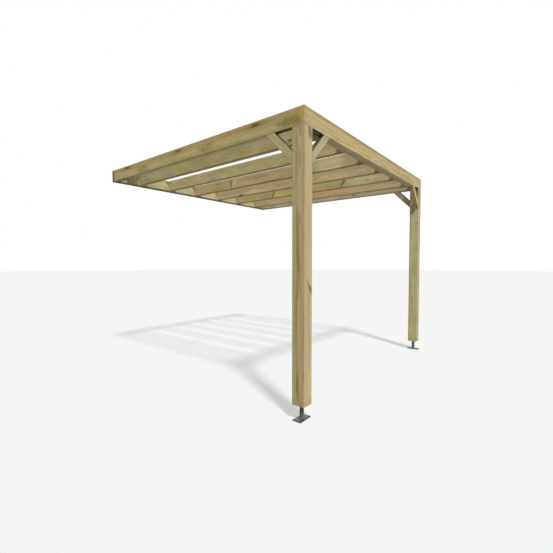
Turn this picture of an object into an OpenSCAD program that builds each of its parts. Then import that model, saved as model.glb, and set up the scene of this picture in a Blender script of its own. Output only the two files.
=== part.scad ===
// Lean-to pergola: an open box frame of planed softwood. A wall plate carries the back and two
// posts on steel feet carry the front. Two side beams join them, six rafters cross the frame
// level with its rim, and mitred braces stiffen the corners.
//
// The origin is the middle of the wall plate's back face, which lies on the wall.
// X runs along the wall, Y points into the wall, and Z points up. Sizes are in millimetres.

/* [Frame] */
// Length of the frame along the wall
frame_length = 3000; // [2400:10:4200]
// Depth of the frame, from the wall to the front beam's outer face
frame_depth = 3000; // [2000:10:3600]
// Height of the frame's top edge above the ground
frame_height = 2450; // [2100:10:2900]
// Number of rafters
rafter_count = 6; // [4:1:7]

/* [Timber] */
// Thickness of the beams, rails and rafters
beam_thickness = 45; // [35:1:60]
// Depth of the beams, rails and rafters
beam_depth = 145; // [120:1:195]
// Side of the square posts
post_side = 115; // [95:1:140]
// Width of a knee brace, which is half a beam's depth less the saw cut
knee_width = 70; // [45:1:90]
// Chamfer that eases the long arrises of every timber
arris = 3; // [1:0.5:5]

/* [Braces] */
// Reach of a knee brace along the post and along the beam
knee_reach = 270; // [200:5:400]
// Reach of a wall corner brace along the side beam and along the wall rail
corner_reach = 205; // [150:5:230]

/* [Feet] */
// Height of a post's underside above the ground
post_lift = 120; // [80:5:180]
// Long side of the foot plate
plate_length = 150; // [130:1:180]
// Short side of the foot plate
plate_width = 80; // [70:1:110]
// Thickness of the foot plate
plate_thickness = 6; // [4:1:12]
// Turn of the left foot's plate, whose long side lies along the wall at 0 and out from it at 90
left_plate_turn = 0; // [0:15:90]
// Turn of the right foot's plate
right_plate_turn = 90; // [0:15:90]
// Distance from a bolt hole's centre to the plate's two nearest edges
bolt_inset = 15; // [10:1:18]
// Diameter of a bolt hole in the foot plate
bolt_hole = 12; // [9:0.5:14]
// Diameter of the rod between the foot plate and the post
rod_diameter = 35; // [20:1:42]
// Length of the rod that is let into the post's end
rod_embed = 120; // [60:5:200]
// Gap all round between the rod and its hole in the post
rod_clearance = 0.3; // [0.1:0.1:0.5]
// Leg of the weld around the foot of the rod
weld_leg = 5; // [3:1:7]

/* [Hidden] */
$fn = 48;

// Levels, with zero at the middle of the wall plate.
rim_top = beam_depth / 2;
rim_under = -beam_depth / 2;
ground = rim_top - frame_height;
post_under = ground + post_lift;

// The rim is one timber thick at the sides and two thick at the wall and at the front.
double_thickness = 2 * beam_thickness;
half_length = frame_length / 2;
side_beam_length = frame_depth - double_thickness;
rafter_length = frame_depth - 2 * double_thickness;

// The front rail fits between the posts and the wall rail is its twin. Each rafter stands in the
// middle of its own equal share of that length.
rail_length = frame_length - 2 * post_side;
rafter_pitch = rail_length / rafter_count;

// Distance by which cutting shapes overrun the faces that they cut.
overrun = 1;

timber_colour = [0.72, 0.60, 0.38];
post_colour = [0.66, 0.54, 0.32];
steel_colour = [0.13, 0.14, 0.14];

// Rectangle with one corner at the origin and its corners cut off by the arris chamfer.
module eased_rectangle(width, height) {
    polygon([
        [arris, 0], [width - arris, 0],
        [width, arris], [width, height - arris],
        [width - arris, height], [arris, height],
        [0, height - arris], [0, arris],
    ]);
}

// Timber that runs along +X from the origin, with its width along +Y and its height along +Z.
module timber_along_x(length, width, height) {
    rotate([90, 0, 90])
        linear_extrude(length)
            eased_rectangle(width, height);
}

// Timber that runs along -Y from the origin, with its width along +X and its height along +Z.
module timber_along_y(length, width, height) {
    rotate([90, 0, 0])
        linear_extrude(length)
            eased_rectangle(width, height);
}

// Brace at 45 degrees across the corner where a face at x = 0 meets a face at z = 0. It reaches
// along +X and down -Z, and its ends are mitred to lie flat on both faces.
module mitred_brace(reach, width, thickness) {
    intersection() {
        translate([0, 0, -reach])
            rotate([0, -45, 0])
                timber_along_x(reach * sqrt(2), thickness, width);
        translate([0, -overrun, -reach])
            cube([reach, thickness + 2 * overrun, reach]);
    }
}

// Sub-parts of a pair are drawn at the left, seen from the front, and mirrored to the right.
module on_right() {
    mirror([1, 0, 0]) children();
}

// Outer timber of the doubled rim, bolted to the wall along its whole length.
module wall_plate() {
    color(timber_colour)
        translate([-half_length, -beam_thickness, rim_under])
            timber_along_x(frame_length, beam_thickness, beam_depth);
}

// Inner timber at the wall, which carries the rafters' back ends.
module wall_rail() {
    color(timber_colour)
        translate([-rail_length / 2, -double_thickness, rim_under])
            timber_along_x(rail_length, beam_thickness, beam_depth);
}

// Outer timber at the front, which runs past both side beams and sits on the posts' shoulders.
module front_beam() {
    color(timber_colour)
        translate([-half_length, -frame_depth, rim_under])
            timber_along_x(frame_length, beam_thickness, beam_depth);
}

// Inner timber at the front, fitted between the posts, which carries the rafters' front ends.
module front_rail() {
    color(timber_colour)
        translate([-rail_length / 2, beam_thickness - frame_depth, rim_under])
            timber_along_x(rail_length, beam_thickness, beam_depth);
}

// Side of the rim, butted between the wall plate and the front beam.
module side_beam() {
    color(timber_colour)
        translate([-half_length, -beam_thickness, rim_under])
            timber_along_y(side_beam_length, beam_thickness, beam_depth);
}

// Rafter number i, counted from the left, between the wall rail and the front rail.
module rafter(i) {
    centre_x = (i - (rafter_count + 1) / 2) * rafter_pitch;
    color(timber_colour)
        translate([centre_x - beam_thickness / 2, -double_thickness, rim_under])
            timber_along_y(rafter_length, beam_thickness, beam_depth);
}

// Flat brace between a side beam and the wall rail, as deep as they are.
module wall_corner_brace() {
    color(timber_colour)
        translate([beam_thickness - half_length, -double_thickness, rim_top])
            rotate([-90, 0, 0])
                mitred_brace(corner_reach, beam_thickness, beam_depth);
}

// Post whose head is rebated on both outer faces. The front beam and the side beam sit on the
// two shoulders, flush with the post, and a tongue stands up in the corner behind them.
module post() {
    color(post_colour)
        difference() {
            translate([-half_length, -frame_depth, post_under])
                linear_extrude(rim_top - post_under)
                    eased_rectangle(post_side, post_side);
            post_rebate(post_side + 2 * overrun, beam_thickness + overrun);
            post_rebate(beam_thickness + overrun, post_side + 2 * overrun);
            translate([post_centre_x, post_centre_y, post_under - overrun])
                cylinder(d = rod_diameter + 2 * rod_clearance, h = rod_embed + overrun);
        }
}

post_centre_x = post_side / 2 - half_length;
post_centre_y = post_side / 2 - frame_depth;

// Cut for a shoulder of the post's head, from its outer corner.
module post_rebate(along_x, along_y) {
    translate([-half_length - overrun, -frame_depth - overrun, rim_under])
        cube([along_x, along_y, beam_depth + overrun]);
}

// Knee brace from the post to the front beam, flush with their front faces.
module front_brace() {
    color(timber_colour)
        translate([post_side - half_length, -frame_depth, rim_under])
            mitred_brace(knee_reach, knee_width, beam_thickness);
}

// Knee brace from the post to the side beam, flush with their outer faces.
module side_brace() {
    color(timber_colour)
        translate([beam_thickness - half_length, post_side - frame_depth, rim_under])
            rotate([0, 0, 90])
                mitred_brace(knee_reach, knee_width, beam_thickness);
}

// Steel rod that stands on the foot plate and is let into the post's end.
module foot_rod() {
    rod_foot = ground + plate_thickness;
    color(steel_colour)
        translate([post_centre_x, post_centre_y, rod_foot]) {
            cylinder(d = rod_diameter, h = post_under + rod_embed - rod_foot);
            cylinder(d1 = rod_diameter + 2 * weld_leg, d2 = rod_diameter, h = weld_leg);
        }
}

// Oblong steel plate under the post, with a bolt hole near each corner.
module foot_plate(turn) {
    hole_x = plate_length / 2 - bolt_inset;
    hole_y = plate_width / 2 - bolt_inset;
    color(steel_colour)
        translate([post_centre_x, post_centre_y, ground])
            rotate([0, 0, turn])
                difference() {
                    translate([-plate_length / 2, -plate_width / 2, 0])
                        cube([plate_length, plate_width, plate_thickness]);
                    for (x = [-hole_x, hole_x], y = [-hole_y, hole_y])
                        translate([x, y, -overrun])
                            cylinder(d = bolt_hole, h = plate_thickness + 2 * overrun);
                }
}

wall_plate();
wall_rail();
front_beam();
front_rail();
side_beam();  // side_beam_left
on_right() side_beam();  // side_beam_right
for (i = [1:rafter_count])
    rafter(i);
wall_corner_brace();  // wall_corner_brace_left
on_right() wall_corner_brace();  // wall_corner_brace_right
post();  // post_left
on_right() post();  // post_right
front_brace();  // front_brace_left
on_right() front_brace();  // front_brace_right
side_brace();  // side_brace_left
on_right() side_brace();  // side_brace_right
foot_rod();  // foot_rod_left
on_right() foot_rod();  // foot_rod_right
foot_plate(left_plate_turn);  // foot_plate_left
on_right() foot_plate(right_plate_turn);  // foot_plate_right
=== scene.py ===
"""Looks for a lean-to pergola: a frame of treated softwood on two posts with coated steel feet.

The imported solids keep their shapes. Each timber gets a material of its own, cut from a log whose
heart, rings and knots lie where a joiner would find them in that timber, so that the figure on its
faces, edges and ends belongs together. Small fixings and weld beads are added as meshes. The frame
axes are X along the wall, Y into the wall and Z up, in metres.
"""

import logging
import math
from dataclasses import dataclass
from enum import Enum

import bmesh
import bpy
from mathutils import Matrix, Vector


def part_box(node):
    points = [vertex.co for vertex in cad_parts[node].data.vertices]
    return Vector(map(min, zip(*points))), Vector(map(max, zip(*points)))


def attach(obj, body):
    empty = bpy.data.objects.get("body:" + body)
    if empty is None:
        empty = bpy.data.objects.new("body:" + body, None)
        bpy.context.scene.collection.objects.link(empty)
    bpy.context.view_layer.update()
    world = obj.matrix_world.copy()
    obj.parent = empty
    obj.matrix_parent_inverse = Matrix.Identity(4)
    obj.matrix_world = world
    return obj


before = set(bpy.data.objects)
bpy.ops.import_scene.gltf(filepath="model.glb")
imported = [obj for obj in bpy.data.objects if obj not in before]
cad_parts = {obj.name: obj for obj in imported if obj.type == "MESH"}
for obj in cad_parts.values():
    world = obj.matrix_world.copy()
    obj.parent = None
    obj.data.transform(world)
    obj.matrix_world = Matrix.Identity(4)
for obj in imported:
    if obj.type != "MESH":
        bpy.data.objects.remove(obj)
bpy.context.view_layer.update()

LOG = logging.getLogger("pergola")
Colour = tuple[float, float, float]
PLAIN: Colour = (1.0, 1.0, 1.0)
Loop = list[bmesh.types.BMVert]


# ---------------------------------------------------------------- sides, directions and tints


class Hand(Enum):
    """Left and right as seen from the front, with the sign of X on that side."""

    LEFT = -1
    RIGHT = 1

    def of(self, stem: str) -> str:
        """Name of this side's copy of a paired part."""
        return f"{stem}_{self.name.lower()}"


class Lie(Enum):
    """How a timber lies: the directions of its grain and of its width, left-hand copy."""

    ALONG_WALL = ((1, 0, 0), (0, 0, 1))
    OUT_FROM_WALL = ((0, 1, 0), (0, 0, 1))
    UPRIGHT = ((0, 0, 1), (1, 0, 0))
    FRONT_KNEE = ((1, 0, 1), (-1, 0, 1))
    SIDE_KNEE = ((0, 1, 1), (0, -1, 1))
    FLAT_CORNER = ((1, 1, 0), (-1, 1, 0))

    def axes(self, hand: Hand) -> Matrix:
        """Builds the timber's own axes.

        Args:
            hand: Side of the frame, which mirrors the directions on the right.

        Returns:
            Rotation whose columns are the grain, the width and the thickness.
        """
        flip = Vector((-hand.value, 1, 1))
        grain, width = (Vector(way).normalized() * flip for way in self.value)
        return Matrix((grain, width, grain.cross(width))).transposed()


class Tint(Enum):
    """What a stain does to the wood under it: the factor on its red, green and blue. Some tints also serve
    for painted shade and painted light.
    """

    RESIN = (1.04, 0.84, 0.56)
    OCHRE = (1.04, 0.88, 0.58)
    HONEY = (1.07, 0.95, 0.60)
    GOLD = (1.27, 1.11, 0.41)
    PINK = (1.11, 0.90, 0.87)
    CREAM = (1.32, 1.27, 1.22)
    SILVER = (0.92, 0.97, 1.12)
    SALTS = (0.80, 0.95, 0.66)
    MOSS = (0.61, 0.70, 0.50)
    MURK = (0.55, 0.57, 0.40)
    OLIVE = (0.60, 0.58, 0.36)
    KNOT = (0.40, 0.38, 0.22)
    EARTH = (0.70, 0.58, 0.32)
    WET = (0.62, 0.56, 0.45)
    PLUM = (0.80, 0.62, 0.58)
    LICHEN = (0.90, 1.08, 1.02)
    BLEACH = (0.99, 1.05, 1.16)
    PALE = (1.23, 1.36, 1.56)
    DULL = (0.80, 0.81, 0.84)
    DUSK = (0.72, 0.72, 0.68)
    GRIME = (0.42, 0.36, 0.24)
    SOOT = (0.20, 0.19, 0.15)
    PITCH = (0.10, 0.09, 0.04)


Row = tuple[float | Tint, ...]


# ---------------------------------------------------------------- shader wiring


class Signal:
    """An output socket that can stand in sums, each of which places a Math node."""

    def __init__(self, graph: "Graph", socket: bpy.types.NodeSocket) -> None:
        """Wraps a socket.

        Args:
            graph: Graph that holds the socket's node.
            socket: Output socket.
        """
        self.graph = graph
        self.socket = socket

    def __add__(self, other: "Given") -> "Signal":
        """Places a sum."""
        return self.graph.math("ADD", self, other)

    def __sub__(self, other: "Given") -> "Signal":
        """Places a difference."""
        return self.graph.math("SUBTRACT", self, other)

    def __rsub__(self, other: "Given") -> "Signal":
        """Places a difference from a constant."""
        return self.graph.math("SUBTRACT", other, self)

    def __mul__(self, other: "Given") -> "Signal":
        """Places a product."""
        return self.graph.math("MULTIPLY", self, other)

    def __truediv__(self, other: "Given") -> "Signal":
        """Places a quotient."""
        return self.graph.math("DIVIDE", self, other)

    def __or__(self, other: "Given") -> "Signal":
        """Places a maximum, which joins two masks."""
        return self.graph.math("MAXIMUM", self, other)

    def __abs__(self) -> "Signal":
        """Places an absolute value."""
        return self.apply("ABSOLUTE")

    def apply(self, operation: str) -> "Signal":
        """Places a Math node with one input, such as COSINE."""
        return self.graph.math(operation, self)

    def step(
        self, start: "Given", end: "Given", low: "Given" = 0.0, high: "Given" = 1.0
    ) -> "Signal":
        """Maps this value smoothly from one range to another.

        Args:
            start: Value that gives low.
            end: Value that gives high. It may be the smaller of the two.
            low: Result at start.
            high: Result at end.

        Returns:
            The mapped value, held within low and high.
        """
        parts = (self, start, end, low, high)
        node = self.graph.add("ShaderNodeMapRange", *parts, interpolation_type="SMOOTHSTEP")
        return Signal(self.graph, node.outputs[0])


Given = float | Colour | Signal


class Graph:
    """A node tree while its nodes are being placed and joined."""

    rows = 6
    spacing = (190, 170)

    def __init__(self, tree: bpy.types.NodeTree) -> None:
        """Starts wiring a tree.

        Args:
            tree: Node tree that the nodes are added to.
        """
        self.tree = tree
        self.placed = 0

    def add(self, kind: str, *parts: Given, **settings: object) -> bpy.types.Node:
        """Adds one node.

        Args:
            kind: Node type, such as ShaderNodeMath.
            *parts: What its first inputs are fed.
            **settings: Node properties to set.

        Returns:
            The new node, laid out in rows.
        """
        node = self.tree.nodes.new(kind)
        column, row = divmod(self.placed, self.rows)
        node.location = (column * self.spacing[0], -row * self.spacing[1])
        self.placed += 1
        for name, value in settings.items():
            setattr(node, name, value)
        for socket, part in zip(node.inputs, parts):
            self.feed(socket, part)
        return node

    def feed(self, socket: bpy.types.NodeSocket, value: Given) -> None:
        """Joins a socket to a signal, or sets its own value.

        Args:
            socket: Input socket to feed.
            value: Signal to join it to, or the value it holds.
        """
        if isinstance(value, Signal):
            self.tree.links.new(value.socket, socket)
        else:
            socket.default_value = (*value, 1.0) if socket.type == "RGBA" else value

    def math(self, operation: str, *parts: Given) -> Signal:
        """Places a Math node, or a Vector Math node where a part is a vector.

        Args:
            operation: What the node does.
            *parts: Its inputs.

        Returns:
            Its result.
        """
        vector = any(part.socket.type == "VECTOR" for part in parts if isinstance(part, Signal))
        kind = "ShaderNodeVectorMath" if vector else "ShaderNodeMath"
        return Signal(self, self.add(kind, *parts, operation=operation).outputs[0])

    def join(self, x: Given, y: Given, z: Given) -> Signal:
        """Makes a vector from its three parts."""
        return Signal(self, self.add("ShaderNodeCombineXYZ", x, y, z).outputs[0])

    def split(self, vector: Signal) -> list[Signal]:
        """Takes a vector apart into its three parts."""
        return [Signal(self, part) for part in self.add("ShaderNodeSeparateXYZ", vector).outputs]

    def length(self, x: Given, y: Given, z: Given = 0.0) -> Signal:
        """Length of the vector with these three parts."""
        node = self.add("ShaderNodeVectorMath", self.join(x, y, z), operation="LENGTH")
        return Signal(self, node.outputs["Value"])

    def noise(
        self, point: Signal, stretch: Colour, detail: float = 2.0, rough: float = 0.5
    ) -> tuple[Signal, Signal]:
        """Places a noise whose cells are stretched differently along each axis.

        Args:
            point: Coordinates.
            stretch: Cells per metre along the grain, the width and the thickness.
            detail: Octaves of finer noise.
            rough: Share of the finer octaves.

        Returns:
            The value between 0 and 1, and the colour of three such values.
        """
        node = self.add("ShaderNodeTexNoise", noise_dimensions="3D")
        values = {"Vector": point * stretch, "Scale": 1.0, "Detail": detail, "Roughness": rough}
        for name, value in values.items():
            self.feed(node.inputs[name], value)
        return Signal(self, node.outputs[0]), Signal(self, node.outputs[1])

    def mix(self, amount: Given, under: Given, over: Given, blend: str = "MIX") -> Signal:
        """Mixes two colours.

        Args:
            amount: Share of the second colour.
            under: First colour.
            over: Second colour.
            blend: Blend mode, such as MULTIPLY.

        Returns:
            The mixed colour.
        """
        node = self.add("ShaderNodeMix", amount, data_type="RGBA", blend_type=blend)
        self.feed(node.inputs[6], under)
        self.feed(node.inputs[7], over)
        return Signal(self, node.outputs[2])

    def facing(self, point: Signal, heart: Signal, turn: Signal) -> tuple[Signal, Signal, Signal]:
        """Measures a point of a log in one direction from its heart.

        Args:
            point: The point.
            heart: Place of the heart.
            turn: The direction, as an angle about the heart.

        Returns:
            How far the point lies along the log, out in that direction, and aside from it.
        """
        along, y, z = self.split(point - heart)
        cosine, sine = turn.apply("COSINE"), turn.apply("SINE")
        return along, y * cosine + z * sine, y * sine - z * cosine


class Surface(Graph):
    """The node tree of a new material, round its Principled shader."""

    def __init__(self, name: str) -> None:
        """Makes the material.

        Args:
            name: Name of the material.
        """
        self.material = bpy.data.materials.new(name)
        self.material.use_nodes = True
        super().__init__(self.material.node_tree)
        self.shader = self.tree.nodes["Principled BSDF"]
        self.coordinates = self.add("ShaderNodeTexCoord")

    def coordinate(self, name: str) -> Signal:
        """One of the surface's own coordinates, such as Object."""
        return Signal(self, self.coordinates.outputs[name])

    def shade(self, values: dict[str, Given]) -> None:
        """Feeds the shader.

        Args:
            values: Value or signal for each of its inputs that is used.
        """
        self.shader.location = (self.placed // self.rows * self.spacing[0] + self.spacing[0], 0)
        for name, value in values.items():
            self.feed(self.shader.inputs[name], value)

    def bump(self, height: Signal, strength: float, distance: float) -> None:
        """Raises and lowers the surface.

        Args:
            height: Height over the surface.
            strength: How strongly it shows.
            distance: Size of a height of one, in metres.
        """
        node = self.add("ShaderNodeBump", strength, distance)
        self.feed(node.inputs["Height"], height)
        self.feed(self.shader.inputs["Normal"], Signal(self, node.outputs[0]))


# ---------------------------------------------------------------- shared effects

FLOAT, VECTOR, COLOUR = "NodeSocketFloat", "NodeSocketVector", "NodeSocketColor"


class Effect:
    """A shader effect that many materials share, as a node group built once."""

    title = ""
    takes: dict[str, str] = {}
    gives: dict[str, str] = {}

    @classmethod
    def wire(cls, g: Graph, *given: Signal) -> tuple[Signal, ...]:
        """Wires the inside of the group. Each effect has its own.

        Args:
            g: Graph of the group's tree.
            *given: The group's inputs, in the order of takes.

        Returns:
            The group's outputs, in the order of gives.
        """
        raise NotImplementedError

    @classmethod
    def tree(cls) -> bpy.types.NodeTree:
        """Returns the group, and builds it when it is first asked for.

        Returns:
            The node group.
        """
        tree = bpy.data.node_groups.get(cls.title)
        if tree:
            return tree
        tree = bpy.data.node_groups.new(cls.title, "ShaderNodeTree")
        for way, sockets in (("INPUT", cls.takes), ("OUTPUT", cls.gives)):
            for name, kind in sockets.items():
                tree.interface.new_socket(name=name, in_out=way, socket_type=kind)
        g = Graph(tree)
        inner = g.add("NodeGroupInput")
        results = cls.wire(g, *(Signal(g, inner.outputs[name]) for name in cls.takes))
        outer = g.add("NodeGroupOutput")
        for name, result in zip(cls.gives, results):
            g.feed(outer.inputs[name], result)
        return tree

    @classmethod
    def place(cls, g: Graph, **values: Given) -> list[Signal]:
        """Places the group in another tree.

        Args:
            g: Graph that gets the group.
            **values: Value or signal for each input that is used, by its name in lower case.

        Returns:
            The group's outputs, in the order of gives.
        """
        node = g.add("ShaderNodeGroup", label=cls.title)
        node.node_tree = cls.tree()
        for name, value in values.items():
            g.feed(node.inputs[name.title()], value)
        return [Signal(g, node.outputs[name]) for name in cls.gives]


class Branch(Effect):
    """One branch that grew out of the heart, cut wherever the timber's faces cut it."""

    title = "Branch through timber"
    takes = {"Point": VECTOR, "Heart": VECTOR, "Along": FLOAT, "Turn": FLOAT, "Radius": FLOAT}
    gives = {"Knot": FLOAT, "Bark": FLOAT, "Bend": FLOAT}
    rise = 0.25

    @classmethod
    def wire(cls, g: Graph, *given: Signal) -> tuple[Signal, ...]:
        """Wires the branch as a cone that widens from the heart outwards.

        Args:
            g: Graph of the group's tree.
            *given: The group's inputs, in the order of takes.

        Returns:
            Masks of the knot and its bark ring, and how far rings bend round it, in metres.
        """
        point, heart, along, turn, radius = given
        x, out, aside = g.facing(point, heart, turn)
        ragged, _ = g.noise(point, (70.0, 90.0, 90.0))
        reach = g.length((x - (along + out * cls.rise)) * 0.8, aside) * (ragged * 0.5 + 0.75)
        size = radius * out.step(-0.002, 0.045) | 0.0001
        ratio = reach / size
        there = size.step(0.0015, 0.004)
        ring = ratio.step(0.72, 0.98) * ratio.step(1.3, 1.02)
        fall = (ratio * ratio * -0.32).apply("EXPONENT")
        return ratio.step(1.05, 0.8) * there, ring * there, fall * (size * 0.9)


class Whorls(Effect):
    """Rings of small branches at the spacing of a year's growth, each a little different."""

    title = "Whorls of small knots"
    takes = {"Point": VECTOR, "Heart": VECTOR, "Spacing": FLOAT, "Radius": FLOAT, "Seed": FLOAT}
    gives = Branch.gives
    branches = 3

    @classmethod
    def wire(cls, g: Graph, *given: Signal) -> tuple[Signal, ...]:
        """Wires the branches of the whorl whose stretch of the log holds the point.

        Args:
            g: Graph of the group's tree.
            *given: The group's inputs, in the order of takes.

        Returns:
            The strongest knot and bark masks and the sum of the bends.
        """
        point, heart, spacing, radius, seed = given
        x, _, _ = g.split(point)
        year = (x / spacing + seed).apply("FLOOR")
        dice = g.add("ShaderNodeTexWhiteNoise", noise_dimensions="1D")
        g.feed(dice.inputs["W"], year * 1.37 + seed * 7.1)
        first, second, third = g.split(Signal(g, dice.outputs["Color"]))
        middle = (year + ((first - 0.5) * 0.4 + 0.5) - seed) * spacing
        total: list[Signal] = []
        for index in range(cls.branches):
            own = (third * 7.3 + index * 0.37).apply("FRACT")
            cut = Branch.place(
                g, point=point, heart=heart, along=middle + (own - 0.5) * 0.05,
                turn=second * 6.28 + own * 0.9 + index * 2.1, radius=radius * (own * 0.8 + 0.35),
            )
            total = [total[0] | cut[0], total[1] | cut[1], total[2] + cut[2]] if total else cut
        return tuple(total)


class LogFigure(Effect):
    """Year rings and fibres of a log that winds a little about its heart."""

    title = "Year rings and fibres"
    takes = {"Point": VECTOR, "Heart": VECTOR, "Ring": FLOAT, "Wander": FLOAT, "Bend": FLOAT, "Seed": FLOAT}
    gives = {"Depth": FLOAT, "Late": FLOAT, "Fibre": FLOAT, "Streak": FLOAT}

    @classmethod
    def wire(cls, g: Graph, *given: Signal) -> tuple[Signal, ...]:
        """Wires the rings from the distance to the winding heart.

        Args:
            g: Graph of the group's tree.
            *given: The group's inputs, in the order of takes.

        Returns:
            Distance from the heart in metres, dark latewood, fine fibres and broad streaks.
        """
        point, heart, ring, wander, bend, seed = given
        moved = point + g.join(seed, seed, seed)
        _, winding = g.noise(moved, (1.4, 3.0, 3.0), 1.0)
        _, sway, heave = g.split(winding)
        _, y, z = g.split(point - heart)
        ripple, _ = g.noise(moved, (4.0, 45.0, 45.0))
        away = g.length(0.0, y + (sway - 0.5) * wander, z + (heave - 0.5) * wander)
        depth = away + (ripple - 0.5) * 0.004 - bend
        pace, _ = g.noise(g.join(depth * 38.0, seed, 0.0), (1.0, 1.0, 1.0), 1.0)
        year = (depth / ring + pace * 1.6).apply("FRACT")
        fibre, _ = g.noise(moved, (9.0, 420.0, 420.0), 3.0, 0.6)
        streak, _ = g.noise(moved, (1.6, 38.0, 38.0), 3.0, 0.6)
        return depth, year.step(0.3, 0.88) * year.step(1.0, 0.92), fibre, streak


class Treatment(Effect):
    """Colour of treated softwood: the green salts take in the sapwood and leave the heart brown."""

    title = "Treated softwood colour"
    takes = {
        "Point": VECTOR, "Depth": FLOAT, "Late": FLOAT, "Fibre": FLOAT, "Streak": FLOAT, "Knot": FLOAT,
        "Bark": FLOAT, "Heartwood": FLOAT, "Green": FLOAT, "Grey": FLOAT, "Warm": FLOAT,
        "Contrast": FLOAT, "Seed": FLOAT,
        "Sap": COLOUR, "Core": COLOUR, "Salts": COLOUR,
    }
    gives = {"Colour": COLOUR}
    warm_wood: Colour = (0.565, 0.385, 0.195)
    weathered: Colour = (0.45, 0.42, 0.33)
    latewood: Colour = (0.52, 0.42, 0.3)
    knot_wood: Colour = (0.2, 0.145, 0.06)
    bark_wood: Colour = (0.09, 0.06, 0.025)

    @classmethod
    def wire(cls, g: Graph, *given: Signal) -> tuple[Signal, ...]:
        """Wires sapwood, heartwood, salts, latewood and knots over each other.

        Args:
            g: Graph of the group's tree.
            *given: The group's inputs, in the order of takes.

        Returns:
            The colour of the wood.
        """
        point, depth, late, fibre, streak, knot, bark = given[:7]
        heartwood, green, grey, warm, contrast, seed, sap, brown, salts = given[7:]
        broad, drift = g.noise(point + g.join(seed, seed, 3.1), (3.6, 13.0, 13.0), 3.0, 0.6)
        _, warmth, paleness = g.split(drift)
        core = (depth + (broad - 0.5) * 0.03).step(heartwood + 0.007, heartwood - 0.007)
        soak = (broad * 0.55 + streak * 0.45).step(0.45, 0.57) * green * (1.0 - core * 0.75)
        lively = fibre * 0.24 + (streak - 0.48) * contrast + 0.88
        wood = g.mix(core, sap, brown)
        wood = g.mix(warmth.step(0.5, 0.68) * warm, wood, cls.warm_wood)
        wood = g.mix(soak, wood, salts)
        wood = g.mix(paleness.step(0.48, 0.75) * grey, wood, cls.weathered)
        wood = g.mix(late * 0.42, wood, cls.latewood, "MULTIPLY")
        wood = g.mix(1.0, wood, g.join(lively, lively, lively), "MULTIPLY")
        wood = g.mix(knot * 0.75, wood, cls.knot_wood)
        return (g.mix(bark * 0.55, wood, cls.bark_wood),)


class DryingCheck(Effect):
    """A crack that opens from the heart towards one face as the timber dries."""

    title = "Drying check"
    takes = {"Point": VECTOR, "Heart": VECTOR, "Turn": FLOAT, "Start": FLOAT, "End": FLOAT, "Width": FLOAT}
    gives = {"Check": FLOAT}
    taper = 0.3

    @classmethod
    def wire(cls, g: Graph, *given: Signal) -> tuple[Signal, ...]:
        """Wires the crack as a wandering plane through the heart.

        Args:
            g: Graph of the group's tree.
            *given: The group's inputs, in the order of takes.

        Returns:
            The crack's mask.
        """
        point, heart, turn, start, end, widest = given
        x, out, aside = g.facing(point, heart, turn)
        drift, _ = g.noise(g.join(x, turn, 0.0), (5.0, 1.0, 1.0), 3.0, 0.6)
        width = widest * (x.step(start, start + cls.taper) * x.step(end, end - cls.taper))
        line = abs(aside + (drift - 0.5) * 0.022).step(width, width * 0.3)
        return (line * (out.step(0.0, 0.01) * width.step(0.0001, 0.0005)),)


class Soiling(Effect):
    """Dirt and damp that gather on arrises and where timbers meet at the ends."""

    title = "Soiled arrises and ends"
    takes = {"Point": VECTOR, "Half": VECTOR, "Edge": FLOAT, "Seed": FLOAT}
    gives = {"Arris": FLOAT, "End": FLOAT, "Damp": FLOAT}

    @classmethod
    def wire(cls, g: Graph, *given: Signal) -> tuple[Signal, ...]:
        """Wires masks from the distance to the timber's edges.

        Args:
            g: Graph of the group's tree.
            *given: The group's inputs, in the order of takes.

        Returns:
            Masks of the arrises, the last stretch at each end, and blotches of damp.
        """
        point, half, edge, seed = given
        along, across, deep = g.split(half - abs(point))
        blotch, _ = g.noise(point, (14.0, 30.0, 30.0), 3.0, 0.6)
        damp, _ = g.noise(point + g.join(seed, 0.0, seed), (3.2, 16.0, 16.0), 3.0, 0.55)
        arris = ((across | deep) * (blotch * 1.4 + 0.3)).step(edge, 0.0)
        return arris, (along - blotch * 0.05).step(0.05, 0.0), damp.step(0.56, 0.74)


class RaggedPatch(Effect):
    """A patch with a ragged edge that the grain draws out, and the tide line round it."""

    title = "Ragged patch"
    takes = {
        "Point": VECTOR, "Centre": VECTOR, "Reach": VECTOR, "Lean": FLOAT, "Ragged": FLOAT, "Soft": FLOAT,
        "Strokes": FLOAT,
    }
    gives = {"Patch": FLOAT, "Tide": FLOAT}

    @classmethod
    def wire(cls, g: Graph, *given: Signal) -> tuple[Signal, ...]:
        """Wires a leaning rounded patch whose edge wanders.

        Args:
            g: Graph of the group's tree.
            *given: The group's inputs, in the order of takes.

        Returns:
            Masks of the patch and of its tide line.
        """
        point, centre, reach, lean, ragged, soft, strokes = given
        x, y, z = g.split(point - centre)
        x = x - y * lean
        wide, high, deep = g.split(reach)
        wander, _ = g.noise(point + centre, (11.0, 75.0, 75.0), 3.0, 0.6)
        away = g.length(x / wide, y / high, z / deep) + (wander - 0.5) * ragged
        brushed, _ = g.noise(g.join(x + y * 0.9, y, z), (34.0, 11.0, 11.0), 2.0, 0.55)
        gaps = brushed.step(0.60, 0.42) * strokes
        return away.step(1.0, 1.0 - soft) * (1.0 - gaps), away.step(0.55, 0.9) * away.step(1.15, 0.95)


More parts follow.
